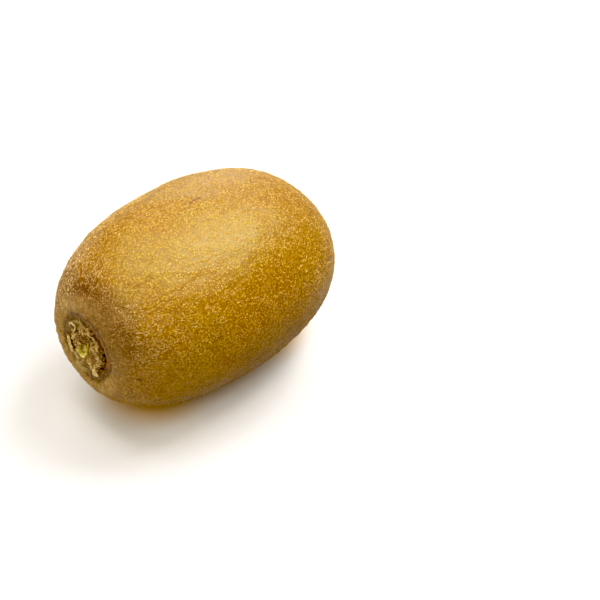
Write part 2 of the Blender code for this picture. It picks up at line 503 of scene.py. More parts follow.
RING_PLANE = -34.2 * MM  # where the fold round the stem lies along the axis, from the body's centre
DISC_RINGS = 64
DISC_SEGMENTS = 220
DISC_DOME = 1.25  # how far its middle stands above its edge
SCAR_RINGS = 26
SCAR_SEGMENTS = 96
SCAR_OVAL = 0.33  # how far the scar is from round
SCAR_TURN = 123.0  # the angle that the scar and the hood are longest at
SCAR_PROFILE = (  # radius and height of the cup, from its middle outwards
    (0.3, 1.2), (0.6, 1.25), (0.9, 1.4), (1.2, 1.62), (1.45, 1.84), (1.7, 1.9), (1.95, 1.8), (2.15, 1.5),
    (2.3, 1.1), (2.5, 0.6),
)
HOOD_SEGMENTS = 48
HOOD_PROFILE = (  # radius, height and tone, from its middle outwards
    (0.15, 0.45, 0.1), (0.5, 0.5, 0.2), (0.8, 0.72, 0.3), (0.98, 1.05, 0.6), (1.12, 1.22, 1.0),
    (1.28, 1.14, 0.95), (1.4, 0.8, 0.55), (1.48, 0.2, 0.35), (1.5, -0.6, 0.2),
)
WALL_ROWS = 44
WALL_COLUMNS = 12
RADIAN = 57.3  # degrees
ROUND_FIBRES = 70
TUFT_FIBRES = 16
LITTER = 44
SHREDS = 24


def stem_point(angle, radius, out):
    """The stem end at degrees round the axis, and millimetres from it and out of the ring's plane."""
    turn = np.radians(angle)
    y = CENTRE.y + radius * MM * np.cos(turn)
    z = CENTRE.z + radius * MM * np.sin(turn)
    return stack(CENTRE.x + RING_PLANE - out * MM, y, z)


def even_degrees(count):
    return np.arange(count) * 360.0 / count


def disc_edge(angle):
    """The woody disc's ragged radius: short of the trench on one side, out to the fold on the other."""
    edge = 7.2 - 1.5 * window(angle, 112.0, 246.0) - 1.5 * bell(angle, 276.0, 9.0)
    return edge - 1.2 * bell(angle, 326.0, 17.0) - 0.9 * bell(angle, 8.0, 8.0) - 1.7 * bell(angle, 43.0, 13.0)


def disc_out(angle, radius):
    """How far the disc's surface stands out of the ring's plane."""
    share = np.clip(radius / disc_edge(angle), 0.0, 1.0)
    return 0.02 + DISC_DOME * (1.0 - share**2) ** 1.2


def ridged(angle, radius, across, along, seed):
    """Noise drawn out round the axis, like concentric fibres, with wavelengths across and along them."""
    turn = np.radians(angle)
    wander = 0.6 * np.sin(3.0 * turn + 0.4) + 0.35 * np.sin(7.0 * turn + 2.0)
    places = stack((radius + wander) / across, 4.0 * np.cos(turn) / along, 4.0 * np.sin(turn) / along)
    return wave_noise(places, 1.0, seed, 30)


def make_disc():
    """The woody disc that the stalk sat on: a dome of matted fibres with a ragged edge."""
    share, turn = lattice(np.linspace(0.0, 1.12, DISC_RINGS + 1)[1:], even_degrees(DISC_SEGMENTS))
    edge = disc_edge(turn) * (1.0 + 0.035 * ridged(turn, 0.0, 1.0, 1.4, 61))
    radius = np.minimum(share, 1.0) * edge
    fibres = ridged(turn, radius, 0.75, 3.2, 62)
    fine = ridged(turn, radius, 0.32, 1.5, 63)
    places = stem_point(turn, radius, 0.0)
    lumps = wave_noise(places, 1.9 * MM, 64)
    crumbs = wave_noise(places, 0.55 * MM, 65)
    outer = smooth_step((radius - 1.2) / 1.5)
    height = disc_out(turn, radius) + outer * (0.17 * fibres + 0.06 * fine + 0.16 * lumps + 0.035 * crumbs)
    # Its edge turns down into the trench
    skirt = smooth_step((share - 0.93) / 0.19)
    height = height * (1.0 - skirt) - 1.3 * skirt
    radius = radius + 0.1 * crumbs * outer
    points, faces = capped(stem_point(turn, radius, height), stem_point(0.0, 0.0, DISC_DOME))
    # Dark above the scar; painted shade where the edge turns down into the trench, behind the hood and in two
    # hollows at the edge
    tone = 0.5 + 0.2 * fibres + 0.1 * fine + 0.12 * crumbs + 0.1 * lumps - 0.6 * skirt
    tone -= 0.3 * bell(turn, 88.0, 32.0) * np.exp(-(((radius - 3.0) / 1.0) ** 2))
    across, above = radius * np.cos(np.radians(turn)), radius * np.sin(np.radians(turn))
    tone -= 0.45 * np.exp(-((across - 4.2) ** 2 + (above - 4.1) ** 2) / 1.2)
    tone -= 0.4 * bell(turn, 277.0, 9.0) * smooth_step((radius - 4.6) / 0.8)
    tone -= 0.6 * bell(turn, 338.0, 13.0) * smooth_step((radius - 5.2) / 0.5)
    return link("stem_disc", points, faces, np.clip(np.append(tone.ravel(), 0.4), 0.0, 1.0))


def drawn_out(profile, rings):
    """The columns of a profile, at more and even steps."""
    steps = np.linspace(0.0, len(profile) - 1.0, rings)
    return [np.interp(steps, np.arange(len(profile)), column) for column in zip(*profile)]


def make_scar():
    """The broken end of the stalk: a low cup, still green inside."""
    radius, out = drawn_out(SCAR_PROFILE, SCAR_RINGS)
    radius, turn = lattice(radius, even_degrees(SCAR_SEGMENTS))
    rim = smooth_step((radius - 0.7) / 0.8)
    ragged = ridged(turn, 0.0, 1.0, 3.0, 66)
    fibre = ridged(turn, radius, 0.45, 2.6, 67)
    out = out[:, None] + rim * (0.05 * ragged - 0.45 * bell(turn, 75.0, 60.0)) + 0.015 * fibre
    radius = radius * (1.0 + SCAR_OVAL * np.cos(np.radians(2.0 * (turn - SCAR_TURN))) + 0.02 * fibre)
    points, faces = capped(stem_point(turn, radius, out), stem_point(0.0, 0.0, 1.25))
    tone = 0.85 * (out - 0.95) + 0.07 * fibre
    # Painted shade on the cup's upper side and a painted highlight on its rim's lower side
    tone = tone - 0.25 * bell(turn, 60.0, 60.0) + 0.22 * bell(turn, 235.0, 45.0) * rim
    return link("stalk_scar", points, faces, np.append(np.clip(tone, 0.0, 1.0).ravel(), 0.25))


def put_sheet(heap, grid, thickness, shade):
    """A thin closed sheet on a grid of places, thinnest at its edges, with a shade for each place."""
    along, across = np.gradient(grid, axis=0), np.gradient(grid, axis=1)
    normals = unit(np.cross(along, across))
    rows, columns = grid.shape[:2]
    u, v = lattice(np.linspace(-1.0, 1.0, rows), np.linspace(-1.0, 1.0, columns))
    depth = thickness * np.clip(1.2 - np.maximum(u**4, v**4), 0.3, 1.0)[..., None] / 2.0
    rise = normals * depth
    points = np.concatenate([(grid + rise).reshape(-1, 3), (grid - rise).reshape(-1, 3)])
    row, column = lattice(np.arange(rows - 1), np.arange(columns - 1))
    corner = (row * columns + column).ravel()
    front = stack(corner, corner + columns, corner + columns + 1, corner + 1)
    back = front[:, ::-1] + rows * columns
    order = [*range(columns), *range(2 * columns - 1, rows * columns, columns)]
    order += [*range(rows * columns - 2, (rows - 1) * columns - 1, -1)]
    order = np.array(order + [*range((rows - 2) * columns, 0, -columns)])
    after = np.roll(order, -1)
    rim = stack(order, after, after + rows * columns, order + rows * columns)
    faces = front.tolist() + back.tolist() + rim.tolist()
    heap.put(points, faces, np.clip(np.tile(shade.ravel(), 2), 0.0, 1.0))


def spread(values, steps):
    """Values at even steps on the smooth curve through the given ones."""
    places = np.linspace(0.0, 1.0, len(values))
    wanted = np.linspace(0.0, 1.0, steps)
    if len(values) == 2:
        return np.interp(wanted, places, values)
    return np.polyval(np.polyfit(places, values, len(values) - 1), wanted)


def put_wall(heap, angles, radii, low, high, lean, curl, seed, tone, crumple=0.1):
    """A dry flake that stands up along an arc, from low to a torn rim at high.

    Radii run along the arc. The flake leans out by lean from foot to rim, and curls by curl towards its rim,
    and its tone runs from foot to rim too.
    """
    u, v = lattice(np.linspace(0.0, 1.0, WALL_ROWS), np.linspace(0.0, 1.0, WALL_COLUMNS))
    angle = angles[0] + (angles[1] - angles[0]) * u
    radius = spread(radii, WALL_ROWS)[:, None]
    top = spread(high, WALL_ROWS)[:, None]
    torn = 0.2 * wave_noise(stack(3.1 * u, 0.0, seed), 0.55, seed)
    ends = np.clip(np.sin(np.pi * u) * 2.2, 0.0, 1.0) ** 0.7
    out = low + (top * (1.0 + torn) - low) * v * (0.15 + 0.85 * ends)
    radius = radius + lean * v + curl * v**2.5
    places = stack(3.0 * u, v, seed)
    rough = wave_noise(places, 0.7, seed + 1)
    fine = wave_noise(places, 0.25, seed + 2)
    radius = radius + crumple * rough + 0.35 * crumple * fine
    shade = tone[0] + (tone[1] - tone[0]) * v + 0.08 * rough + 0.06 * fine
    put_sheet(heap, stem_point(angle, radius, out), 0.16 * MM, shade)


def put_hood(heap, y, z, seed):
    """A small ragged cup that hangs over a hollow. Its rim sinks on its low side, where it is painted darker as
    painted shade.
    """
    radius, out, tone = (part[:, None] for part in drawn_out(HOOD_PROFILE, 3 * len(HOOD_PROFILE)))
    turn = even_degrees(HOOD_SEGMENTS)[None]
    angle = np.radians(turn)
    ragged = wave_noise(stack(np.cos(angle), np.sin(angle), 0.0), 0.9, seed)
    low_side = bell(turn, 285.0, 55.0) * smooth_step((radius - 0.5) / 0.6)
    away = radius * (1.0 + 0.26 * np.cos(2.0 * (angle - math.radians(SCAR_TURN))) + 0.07 * ragged)
    out = out + 0.1 * ragged * smooth_step((radius - 0.4) / 0.6) - 0.45 * low_side
    tip = stem_point(math.degrees(math.atan2(z, y)), math.hypot(y, z), HOOD_PROFILE[0][1])
    y, z = y + away * np.cos(angle), z + away * np.sin(angle)
    points, faces = capped(stem_point(np.degrees(np.arctan2(z, y)), np.hypot(y, z), out), tip)
    # Painted shade on the low side
    shade = np.append((tone - 0.5 * low_side + 0.06 * ragged).ravel(), HOOD_PROFILE[0][2])
    heap.put(points, faces, np.clip(shade, 0.0, 1.0))


def put_ribbon(heap, spine, halves, seed, tone, cup, crumple, twist, size=(30, 9)):
    """A torn strip along a spine of (degrees, radius, out) places, with its half-widths."""
    rows, columns = size
    line = stem_point(*(spread(part, rows) for part in zip(*spine)))
    along = unit(np.gradient(line, axis=0))
    side = unit(np.cross(along, (-1.0, 0.0, 0.0)))
    rise = np.cross(side, along)
    turn = np.linspace(0.0, twist, rows)[:, None]
    side, rise = side * np.cos(turn) + rise * np.sin(turn), rise * np.cos(turn) - side * np.sin(turn)
    half = np.maximum(spread(halves, rows), 0.03)[:, None, None] * MM
    v = np.linspace(-1.0, 1.0, columns)
    places = stack(*lattice(np.linspace(0.0, 3.0, rows), v), seed)[:, :, None]
    rough = wave_noise(places, 0.8, seed)
    edge = wave_noise(places, 0.35, seed + 1)
    v = v[None, :, None]
    grid = line[:, None] + side[:, None] * v * half * (1.0 + 0.16 * edge)
    grid = grid + rise[:, None] * (cup * (v**2 - 0.5) * half / 0.5 + crumple * MM * rough)
    put_sheet(heap, grid, 0.13 * MM, tone + 0.09 * rough[..., 0] + 0.05 * edge[..., 0])


def put_tube(heap, line, radius, tone, sides=5):
    """A closed tapering tube along a line of places, for a fibre, a strand or a style."""
    rows = len(line)
    along = unit(np.gradient(line, axis=0))
    side = unit(np.cross(along, (0.31, 0.87, 0.38)))
    other = np.cross(along, side)
    turn = np.arange(sides) * TURN / sides
    girth = np.broadcast_to(radius, rows)[:, None, None]
    ring = side[:, None] * np.cos(turn)[None, :, None] + other[:, None] * np.sin(turn)[None, :, None]
    points = np.concatenate([(line[:, None] + ring * girth).reshape(-1, 3), line[:1], line[-1:]])
    heap.put(points, closed_grid_faces(rows, sides, 2), tone)


def put_strand(heap, spine, radius, seed, tone, wander, steps=16):
    """A fibre of the stem end along a spine of (degrees, radius, out) places, bent at random."""
    line = stem_point(*(spread(part, steps) for part in zip(*spine)))
    course = stack(np.linspace(0.0, 2.0, steps), seed, 0.0)
    for axis in range(3):
        line[:, axis] += wander * MM * wave_noise(course, 0.9, seed + axis)
    taper = 1.0 - 0.6 * np.linspace(-1.0, 1.0, steps) ** 4
    put_tube(heap, line, radius * MM * taper, tone)


def make_sepals():
    """The withered remains of the five sepals, one piece each, in the order of the CAD's."""
    heaps = [Heap() for number in range(5)]
    first, second, third, fourth, fifth = heaps
    # A hood that curls inwards round a hollow, with small curls and strands beside it
    put_hood(first, 4.35, 4.45, 101)
    put_wall(first, (16.0, 40.0), (7.3, 7.6, 7.4), -0.6, (0.3, 0.6, 0.3), 0.3, -0.3, 107, (0.15, 0.6))
    put_wall(first, (52.0, 80.0), (7.4, 7.7, 7.2), -0.5, (0.4, 0.8, 0.5), 0.2, -0.5, 104, (0.2, 0.6))
    strand = [(76.0, 8.6, 0.1), (82.0, 7.4, 0.5), (85.0, 6.2, 0.6), (92.0, 4.9, 1.0)]
    put_strand(first, strand, 0.15, 110, 0.8, 0.26)
    strand = [(84.0, 8.5, 0.1), (87.0, 7.3, 0.4), (94.0, 6.4, 0.6), (96.0, 5.2, 0.9)]
    put_strand(first, strand, 0.11, 113, 0.7, 0.24)
    strand = [(69.0, 8.2, 0.1), (74.0, 7.0, 0.6), (78.0, 6.2, 0.7), (84.0, 5.4, 1.0)]
    put_strand(first, strand, 0.08, 116, 0.6, 0.24)
    # A flake that stands over the trench, pale along its rim
    put_wall(second, (97.0, 140.0), (5.6, 6.3, 5.9), -0.9, (0.55, 0.85, 0.35), 0.35, 0.25, 121, (0.1, 0.85))
    put_wall(second, (104.0, 131.0), (4.7, 5.0, 4.8), 0.1, (0.8, 0.95, 0.6), 0.2, 0.3, 124, (0.35, 0.7))
    # Crumpled grey-green remnants
    put_wall(third, (142.0, 172.0), (5.1, 5.7, 5.3), -1.0, (0.2, 0.6, 0.3), 0.3, 0.3, 131, (0.1, 0.5), 0.18)
    put_wall(
        third, (160.0, 200.0), (5.6, 5.4, 5.2), -1.0, (0.3, 0.35, 0.2), 0.4, 0.2, 134, (0.08, 0.45), 0.18
    )
    put_wall(third, (150.0, 186.0), (4.6, 4.9, 4.5), 0.0, (0.5, 0.8, 0.5), 0.1, 0.5, 137, (0.3, 0.6), 0.14)
    # A pale pointed flake that hangs out over the lip
    flake = [(238.0, 5.3, 0.2), (238.0, 5.9, 0.85), (235.0, 6.7, 1.05), (233.0, 7.4, 0.75)]
    put_ribbon(fourth, flake, (0.3, 0.62, 0.5, 0.1), 141, 0.98, 0.5, 0.07, 0.7)
    strand = [(233.0, 7.2, 0.8), (232.0, 7.9, 0.7), (230.0, 8.6, 0.35), (229.0, 9.1, 0.1)]
    put_strand(fourth, strand, 0.11, 147, 0.35, 0.05)
    put_wall(fourth, (212.0, 246.0), (5.2, 5.5, 5.4), -1.0, (0.3, 0.5, 0.3), 0.2, 0.2, 144, (0.15, 0.6), 0.14)
    # A long pale strip with a gap behind it, and layered strips beside it
    strip = [(361.0, 6.6, 0.95), (350.0, 6.65, 1.0), (336.0, 6.85, 1.0), (320.0, 7.7, 0.85)]
    put_ribbon(fifth, strip, (0.5, 0.66, 0.64, 0.42), 151, 0.74, 0.12, 0.035, 0.25)
    put_wall(fifth, (320.0, 360.0), (7.4, 7.0, 6.7), -0.7, (0.7, 0.9, 0.7), 0.1, 0.0, 163, (0.05, 0.4), 0.05)
    put_wall(fifth, (276.0, 318.0), (7.4, 7.9, 7.7), -0.6, (0.45, 0.6, 0.5), 0.35, 0.2, 154, (0.2, 0.75), 0.1)
    put_wall(fifth, (284.0, 322.0), (6.5, 7.0, 6.8), -0.3, (0.5, 0.65, 0.6), 0.2, 0.3, 157, (0.2, 0.7), 0.1)
    put_wall(fifth, (262.0, 290.0), (8.3, 8.3, 8.1), -0.4, (0.2, 0.3, 0.2), 0.3, 0.3, 160, (0.2, 0.6), 0.1)
    for number in range(5):
        away = 7.5 + 0.42 * number
        strand = [(314.0 - 3.0 * number, away - 0.1, 0.5), (300.0, away + 0.2, 0.6), (288.0, away + 0.1, 0.5)]
        strand.append((276.0, away - 0.5, 0.2))
        put_strand(fifth, strand, 0.1, 170 + 3 * number, 0.5 + 0.1 * number, 0.1)
    return [heap.link(f"sepal_remains_{number + 1}") for number, heap in enumerate(heaps)]


def make_fibres():
    """Loose fibres and shreds that lie on the disc, most of them round it, dark ones above the scar."""
    heap = Heap()
    draw = np.random.default_rng(71)
    # Fibres that lie round the disc
    for number in range(ROUND_FIBRES):
        angle = draw.uniform(0.0, 360.0)
        radius = draw.uniform(2.1, 0.97 * float(disc_edge(angle)))
        reach = draw.uniform(0.5, 1.6) / radius * RADIAN
        lift = draw.uniform(0.05, 0.32)
        drift = draw.normal(0.0, 0.45)
        spine = []
        for step, rise in ((-0.5, 0.3), (0.0, 1.0), (0.5, 0.4)):
            under = float(disc_out(angle + reach * step, radius))
            spine.append((angle + reach * step, radius + drift * step, under + lift * rise))
        girth, tone = draw.uniform(0.035, 0.085), draw.uniform(0.1, 0.85)
        put_strand(heap, spine, girth, 200 + 3 * number, tone, 0.13, 12)
    # A dark tuft above the scar
    for number in range(TUFT_FIBRES):
        angle = draw.normal(86.0, 17.0)
        radius = draw.uniform(2.0, 3.6)
        under = float(disc_out(angle, radius))
        spine = [
            (angle, radius, under + 0.1),
            (angle + draw.normal(0.0, 8.0), radius + 0.7, under + 0.4),
            (angle + draw.normal(0.0, 14.0), radius + draw.uniform(0.8, 1.6), under + 0.1),
        ]
        girth, tone = draw.uniform(0.05, 0.09), draw.uniform(0.0, 0.12)
        put_strand(heap, spine, girth, 600 + 3 * number, tone, 0.14, 12)
    # Litter in the trench
    for number in range(LITTER):
        angle = draw.uniform(104.0, 246.0)
        radius = draw.uniform(5.5, 7.6)
        reach, drift = draw.normal(0.0, 7.0), draw.normal(0.0, 0.5)
        spine = [
            (angle - reach, radius - drift, draw.uniform(-0.6, 0.1)),
            (angle, radius, draw.uniform(-0.3, 0.3)),
            (angle + reach, radius + drift, draw.uniform(-0.6, 0.1)),
        ]
        girth, tone = draw.uniform(0.07, 0.15), draw.uniform(0.15, 0.75)
        put_strand(heap, spine, girth, 1000 + 3 * number, tone, 0.2, 12)
    # Small shreds
    for number in range(SHREDS):
        angle = draw.uniform(0.0, 360.0)
        radius = draw.uniform(2.4, 0.98 * float(disc_edge(angle)))
        under = float(disc_out(angle, radius))
        heading = draw.uniform(-1.0, 1.0)
        length = draw.uniform(0.5, 1.2)
        turn, away = RADIAN * length * math.cos(heading) / radius, length * math.sin(heading)
        spine = [
            (angle, radius, under + 0.02),
            (angle + 0.5 * turn, radius + 0.5 * away, under + 0.3),
            (angle + turn, radius + away, under + 0.22),
        ]
        halves = (draw.uniform(0.1, 0.3), draw.uniform(0.15, 0.35), 0.05)
        tone, twist = draw.uniform(0.2, 0.8), draw.normal(0.0, 0.9)
        put_ribbon(heap, spine, halves, 800 + 3 * number, tone, 0.5, 0.07, twist, (14, 6))
    return heap.link("stem_fibres")


# ---- Blossom end

STYLES = 38


def make_styles():
    """The dry styles that stay in the pucker at the blossom end, fanned out and curled."""
    heap = Heap()
    draw = np.random.default_rng(81)
    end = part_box("style_tuft")[1].x
    foot = end - 2.4 * MM
    steps = np.linspace(0.0, 1.0, 14)
    swollen = 1.0 + 0.9 * smooth_step((steps - 0.82) / 0.12)
    for _ in range(STYLES):
        angle = draw.uniform(0.0, TURN)
        radius = 1.3 * MM * math.sqrt(draw.random())
        fan = draw.uniform(0.4, 1.3)
        length = draw.uniform(1.3, 2.5) * MM
        sweep = angle + draw.normal(0.0, 0.5) + draw.normal(0.0, 1.1) * steps**2
        away = radius + length * fan * (0.25 * steps + 0.5 * steps**2)
        rise = length * (steps - 0.5 * draw.uniform(0.3, 1.1) * steps**3)
        x = np.minimum(foot + rise, end + 0.1 * MM)
        line = stack(x, CENTRE.y + away * np.cos(sweep), CENTRE.z + away * np.sin(sweep))
        put_tube(heap, line, draw.uniform(0.07, 0.13) * MM * swollen, draw.uniform(0.05, 0.8), 6)
    return heap.link("dry_styles")


# ---- Materials


def rgb(red, green, blue):
    """A linear colour from the usual 0 to 255 display values."""
    shares = [value / 255.0 for value in (red, green, blue)]
    return tuple(s / 12.92 if s <= 0.04045 else ((s + 0.055) / 1.055) ** 2.4 for s in shares) + (1.0,)


class Paint:
    """One material's node tree, built a node at a time round its Principled shader."""

    def __init__(self, name, roughness, **constants):
        self.material = bpy.data.materials.new(name)
        self.material.use_nodes = True
        self.tree = self.material.node_tree
        self.shader = self.tree.nodes["Principled BSDF"]
        self.shader.inputs["Roughness"].default_value = roughness
        for socket, value in constants.items():
            self.shader.inputs[socket.replace("_", " ")].default_value = value
        self.place = self.add("ShaderNodeTexCoord").outputs["Object"]

    def add(self, kind, *values, **settings):
        node = self.tree.nodes.new(kind)
        for key, value in settings.items():
            setattr(node, key, value)
        for socket, value in zip(node.inputs, values):
            self.feed(socket, value)
        return node

    def feed(self, socket, value):
        if isinstance(value, bpy.types.NodeSocket):
            self.tree.links.new(value, socket)
        else:
            socket.default_value = value

    def math(self, operation, *values):
        return self.add("ShaderNodeMath", *values, operation=operation).outputs[0]

    def times(self, first, second):
        return self.math("MULTIPLY", first, second)

    def vector(self, operation, *values):
        return self.add("ShaderNodeVectorMath", *values, operation=operation).outputs

    def split(self, place):
        return self.add("ShaderNodeSeparateXYZ", place).outputs

    def noise(self, size, detail=2.0, roughness=0.5, warp=0.0):
        """Noise whose features are about this size across."""
        node = self.add("ShaderNodeTexNoise", self.place)
        node.inputs["Scale"].default_value = 1.0 / size
        node.inputs["Detail"].default_value = detail
        node.inputs["Roughness"].default_value = roughness
        node.inputs["Distortion"].default_value = warp
        return node.outputs["Fac"]

    def cells(self, size, place=None):
        """Distance from the nearest of points strewn about this far apart, in shares of that spacing."""
        node = self.add("ShaderNodeTexVoronoi", place or self.place)
        node.inputs["Scale"].default_value = 1.0 / size
        return node.outputs["Distance"]

    def shaken(self, size, reach):
        """Places moved on by half the reach, give or take, so that what is drawn there is less regular."""
        node = self.add("ShaderNodeTexNoise", self.place)
        node.inputs["Scale"].default_value = 1.0 / size
        moved = self.vector("MULTIPLY", node.outputs["Color"], (reach,) * 3)
        return self.vector("ADD", self.place, moved[0])[0]

    def between(self, value, low, high, start=0.0, end=1.0):
        """A smooth step from start to end as value goes from low to high."""
        node = self.add("ShaderNodeMapRange", value, low, high, start, end, interpolation_type="SMOOTHSTEP")
        return node.outputs[0]

    def mix(self, share, first, second, blend="MIX"):
        node = self.add("ShaderNodeMix", data_type="RGBA", blend_type=blend)
        colours = [socket for socket in node.inputs if socket.type == "RGBA"]
        self.feed(node.inputs["Factor"], share)
        self.feed(colours[0], first)
        self.feed(colours[1], second)
        return next(socket for socket in node.outputs if socket.type == "RGBA")

    def tint(self, base, share, shade, amount=None, blend="MIX"):
        """The base with a shade over it, by a share and at most by an amount."""
        share = share if amount is None else self.times(share, amount)
        return self.mix(share, base, rgb(*shade), blend)

    def colour(self, socket):
        self.feed(self.shader.inputs["Base Color"], socket)

    def rough(self, socket):
        self.feed(self.shader.inputs["Roughness"], socket)

    def relief(self, height, depth, under=None):
        """Bumps that rise by depth metres as height goes from 0 to 1."""
        node = self.add("ShaderNodeBump")
        node.inputs["Distance"].default_value = depth
        self.feed(node.inputs["Height"], height)
        if under is not None:
            self.feed(node.inputs["Normal"], under)
        self.feed(self.shader.inputs["Normal"], node.outputs["Normal"])
        return node.outputs["Normal"]

    def attribute(self, name):
        return self.add("ShaderNodeAttribute", attribute_name=name).outputs["Fac"]

    def shades(self, value, stops):
        """A colour ramp from places between 0 and 1, each with its colour."""
        node = self.add("ShaderNodeValToRGB", value)
        ramp = node.color_ramp
        for number, (place, colour) in enumerate(stops.items()):
            stop = ramp.elements[number] if number < 2 else ramp.elements.new(place)
            stop.position = place
            stop.color = colour
        return node.outputs["Color"]

    def streak(self, ends, width, ragged):
        """1 on the line between two places, and 0 beyond half the width from it."""
        first, last = ends
        along = last - first
        start = self.vector("SUBTRACT", ragged, tuple(first))["Vector"]
        share = self.vector("DOT_PRODUCT", start, tuple(along / (along @ along)))["Value"]
        nearest = self.add("ShaderNodeVectorMath", tuple(along), operation="SCALE")
        self.feed(nearest.inputs["Scale"], self.between(share, 0.0, 1.0))
        away = self.vector("DISTANCE", start, nearest.outputs["Vector"])["Value"]
        return self.between(away, width / 2.0, width / 5.0)

    def height(self):
        return self.split(self.place)["Z"]

    def stem_place(self):
        """Distance along the fruit from its middle, and distance from its long axis, as sockets."""
        split = self.split(self.vector("SUBTRACT", self.place, tuple(CENTRE))[0])
        squares = [self.math("POWER", split[axis], 2.0) for axis in ("Y", "Z")]
        return split["X"], self.math("SQRT", self.math("ADD", *squares))

    def above_stem(self, along, apart):
        """0 to 0.9: the patch just above the fold round the stem, on the near side."""
        beside = self.between(apart, 20.0 * MM, 15.5 * MM)
        beside = self.times(beside, self.between(along, -23.0 * MM, -28.0 * MM))
        beside = self.times(beside, self.between(self.split(self.place)["Y"], 6.5 * MM, 2.5 * MM))
        return self.times(beside, self.between(self.height(), 26.0 * MM, 34.0 * MM, 0.0, 0.9))

    def low_shade_share(self, along):
        """0 on the upper side and 1 low down, least so towards the stem: the share of painted shade low down on
        the skin and the hairs.
        """
        towards_stem = self.math("MINIMUM", along, 0.0)
        level = self.math("SUBTRACT", self.height(), self.times(towards_stem, 0.4))
        return self.between(level, 33.0 * MM, 12.0 * MM)


SHAKE = 0.5 * MM  # how ragged the two blemishes are

DISC_SHADES = {
    0.0: rgb(112, 84, 52), 0.25: rgb(130, 100, 60), 0.5: rgb(154, 124, 72), 0.75: rgb(178, 148, 92),
    1.0: rgb(204, 178, 122),
}
SCAR_SHADES = {
    0.0: rgb(92, 70, 30), 0.25: rgb(116, 98, 34), 0.5: rgb(148, 132, 46), 0.75: rgb(182, 166, 70),
    1.0: rgb(220, 206, 130),
}
SEPAL_SHADES = {
    0.0: rgb(96, 78, 48), 0.3: rgb(118, 102, 66), 0.55: rgb(144, 124, 76), 0.8: rgb(190, 164, 108),
    1.0: rgb(214, 192, 142),
}
FIBRE_SHADES = {0.0: rgb(98, 68, 44), 0.3: rgb(130, 96, 58), 0.6: rgb(162, 124, 74), 1.0: rgb(210, 184, 136)}
STYLE_SHADES = {0.0: rgb(34, 20, 12), 0.5: rgb(74, 48, 28), 1.0: rgb(128, 92, 56)}


def paint_skin():
    paint = Paint(
        "skin", 0.4, Specular_IOR_Level=0.65, Specular_Tint=rgb(247, 255, 198),
        Sheen_Weight=0.32, Sheen_Roughness=0.35, Sheen_Tint=rgb(242, 236, 232),
    )
    along, apart = paint.stem_place()
    broad = paint.noise(13.0 * MM, 3.0)
    patch = paint.noise(4.5 * MM, 4.0, 0.6)
    grain = paint.noise(0.3 * MM, 2.0, 0.6)
    base = paint.tint(rgb(152, 114, 0), paint.between(broad, 0.4, 0.62), (152, 119, 2))
    base = paint.tint(base, paint.between(patch, 0.5, 0.75, 0.0, 0.45), (142, 94, 0))
    # The stem end turns brown, in patches
    edge = paint.math("ADD", along, paint.times(patch, 14.0 * MM))
    near_stem = paint.between(edge, -18.0 * MM, -28.0 * MM)
    brown = paint.tint(rgb(150, 117, 60), paint.between(paint.height(), 29.0 * MM, 37.0 * MM), (118, 82, 32))
    base = paint.mix(near_stem, base, brown)
    # Painted shade: the skin is darker low down
    base = paint.tint(base, paint.low_shade_share(along), (96, 60, 2), 0.45)
    base = paint.tint(base, paint.above_stem(along, apart), (104, 58, 14))
    # So does the tip of the blossom end
    base = paint.tint(base, paint.between(edge, 34.0 * MM, 46.0 * MM), (128, 82, 10))
    # Pale specks where hairs have worn off, darker skin between them, and a few dark pits
    dots = paint.cells(0.76 * MM, paint.shaken(0.45 * MM, 0.35 * MM))
    speck = paint.between(dots, 0.3, 0.1)
    base = paint.tint(base, paint.between(grain, 0.62, 0.38, 0.0, 0.6), (190, 140, 60), blend="MULTIPLY")
    base = paint.tint(base, paint.between(dots, 0.34, 0.6, 0.0, 0.45), (180, 128, 60), blend="MULTIPLY")
    base = paint.tint(base, speck, (218, 170, 80), 0.35)
    base = paint.tint(base, paint.between(paint.cells(5.5 * MM), 0.06, 0.03), (84, 50, 22), 0.7)
    # The two blemishes, moved on as far as shaken places are on average
    ragged = paint.shaken(0.5 * MM, SHAKE)
    for blemish, width, shade, amount in ((SCRATCH, 0.9, (96, 30, 4), 0.95), (PIT, 1.0, (54, 38, 20), 0.9)):
        ends = [end + SHAKE / 2.0 for end in blemish_ends(blemish)]
        base = paint.tint(base, paint.streak(ends, width * MM, ragged), shade, amount)
    # The fold round the stem: a lip that is rusty beside the trench, painted shade down in the trench, and a
    # dark line of painted shade along the crease
    rusty = paint.attribute("rusty")
    inside = paint.math("ADD", paint.attribute("inside_fold"), paint.between(patch, 0.3, 0.7, -0.25, 0.25))
    lip = paint.tint(rgb(142, 112, 58), rusty, (156, 102, 46))
    lip = paint.tint(lip, paint.between(grain, 0.3, 0.7, 0.0, 0.6), (112, 78, 36))
    mottle = paint.noise(1.0 * MM, 4.0, 0.7, 0.6)
    lip = paint.tint(lip, paint.between(mottle, 0.44, 0.6, 0.0, 0.85), (84, 56, 28))
    lip = paint.tint(lip, paint.between(inside, 1.6, 3.6, 0.0, 0.6), (110, 80, 40))
    outer = paint.tint(rgb(160, 130, 76), rusty, (124, 94, 50))
    base = paint.mix(paint.between(inside, -6.5, -2.0, 0.0, 0.8), base, outer)
    base = paint.mix(paint.between(inside, 0.15, 0.6), base, lip)
    # Painted shade down in the trench
    base = paint.tint(base, paint.between(paint.attribute("from_stem"), 7.6, 6.7), (116, 84, 50))
    # Painted shade along the crease
    line = paint.times(paint.between(inside, -0.8, -0.2), paint.between(inside, 0.75, 0.25))
    paint.colour(paint.tint(base, line, (98, 66, 46), 0.75))
    rough = paint.math("ADD", paint.times(speck, 0.3), paint.times(near_stem, 0.8))
    paint.rough(paint.between(rough, 0.0, 1.0, 0.36, 0.6))
    coarse = paint.relief(paint.between(dots, 0.55, 0.05), 0.085 * MM)
    paint.relief(grain, 0.085 * MM, coarse)
    return paint.material


